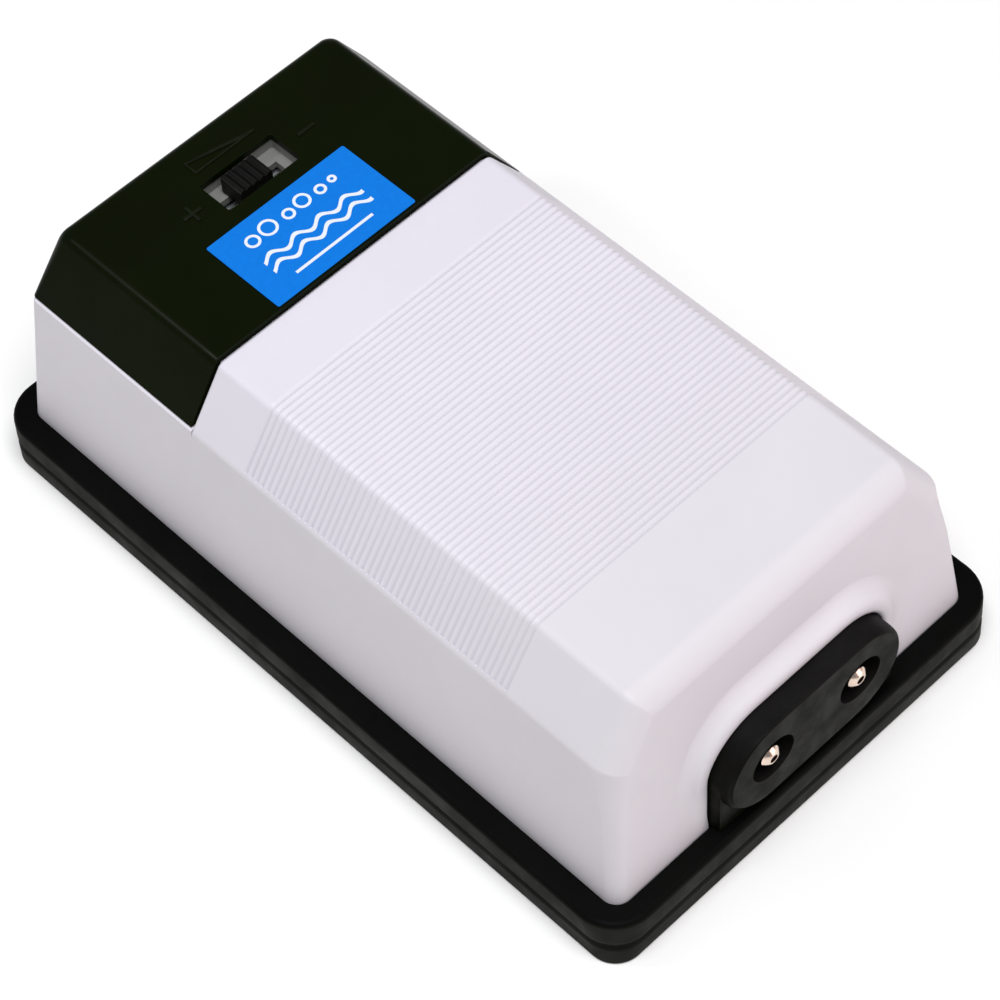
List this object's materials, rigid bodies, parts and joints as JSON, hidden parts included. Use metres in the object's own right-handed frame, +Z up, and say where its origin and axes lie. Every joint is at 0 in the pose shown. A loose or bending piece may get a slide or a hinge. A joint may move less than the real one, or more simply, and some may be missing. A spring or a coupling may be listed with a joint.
{
  "type": "aquarium air pump",
  "caption": "Free-standing twin-outlet aquarium air pump: chamfered ribbed case on a rubber boot, with a sliding flow control on top and recessed hose nipples in front.",
  "frame": {"origin": "under the middle of the rubber boot, on the surface that the pump stands on", "axes": "+Z up; +Y along the length, towards the flow control end; the outlets face -Y; +X across the width"},
  "size_m": [0.0968, 0.159, 0.057],
  "materials": {
    "white_plastic": "satin moulded ABS",
    "black_gloss": "polished moulded ABS",
    "black_plastic": "satin moulded plastic",
    "grey_plastic": "satin moulded plastic",
    "black_rubber": "matte",
    "blue_label": "printed film",
    "nickel": "nickel-plated brass",
    "zinc_steel": "zinc plated",
    "core_steel": "stacked laminations",
    "magnet": "sintered ferrite",
    "copper_wire": "enamelled wire",
    "felt": "felt",
    "silicone": "translucent",
    "circuit_board": "solder mask",
    "yellow_film": "dipped film capacitor"
  },
  "bodies": {
    "case": {"upper_housing": "white_plastic", "top_cover": "black_gloss", "label_plate": "blue_label", "slider_track": "grey_plastic", "control_board": "circuit_board", "board_triac": "black_plastic", "board_capacitor": "yellow_film", "rubber_boot": "black_rubber", "base_plate": "black_plastic", "filter_cover": "black_plastic", "filter_pad": "felt", "outlet_block": "black_rubber", "cord_grommet": "black_rubber", "magnet_core": "core_steel", "coil_bobbin": "grey_plastic", "coil_winding": "copper_wire", "core_strap": "zinc_steel", "housing_screw_front_left": "zinc_steel", "housing_screw_front_right": "zinc_steel", "housing_screw_rear_left": "zinc_steel", "housing_screw_rear_right": "zinc_steel", "outlet_nipple_left": "nickel", "outlet_nipple_right": "nickel", "air_tube_left": "silicone", "air_tube_right": "silicone", "pivot_pin_left": "zinc_steel", "pivot_pin_right": "zinc_steel", "diaphragm_left": "black_rubber", "diaphragm_right": "black_rubber", "valve_box_left": "grey_plastic", "valve_box_right": "grey_plastic", "valve_plate_left": "black_plastic", "valve_plate_right": "black_plastic", "inlet_flap_left": "black_rubber", "inlet_flap_right": "black_rubber", "outlet_flap_left": "black_rubber", "outlet_flap_right": "black_rubber", "strap_screw_left": "zinc_steel", "strap_screw_right": "zinc_steel", "board_screw_left": "zinc_steel", "board_screw_right": "zinc_steel", "coil_lead_left": "black_plastic", "coil_lead_right": "black_plastic"},
    "flow_slider": {"flow_knob": "black_plastic", "slider_stem": "grey_plastic"},
    "left_arm": {"swing_arm_left": "grey_plastic", "arm_magnet_left": "magnet", "pivot_bush_left": "black_rubber", "diaphragm_screw_left": "zinc_steel"},
    "right_arm": {"swing_arm_right": "grey_plastic", "arm_magnet_right": "magnet", "pivot_bush_right": "black_rubber", "diaphragm_screw_right": "zinc_steel"}
  },
  "joints": [
    {"name": "flow_slide", "type": "slide", "parent": "case", "child": "flow_slider", "axis": [1, 0, 0], "range_m": [-0.0034, 0.0051]},
    {"name": "left_arm_swing", "type": "hinge", "parent": "case", "child": "left_arm", "pos_m": [-0.009, -0.035, 0.024], "axis": [0, 0, 1], "range_deg": [-2, 2], "stiffness_Nm_per_rad": 0.5, "deforming": ["diaphragm_left"]},
    {"name": "right_arm_swing", "type": "hinge", "parent": "case", "child": "right_arm", "pos_m": [0.009, -0.035, 0.024], "axis": [0, 0, 1], "range_deg": [-2, 2], "stiffness_Nm_per_rad": 0.5, "deforming": ["diaphragm_right"]}
  ],
  "couplings": [
    {"joint": "right_arm_swing", "follows": "left_arm_swing", "ratio": -1}
  ]
}
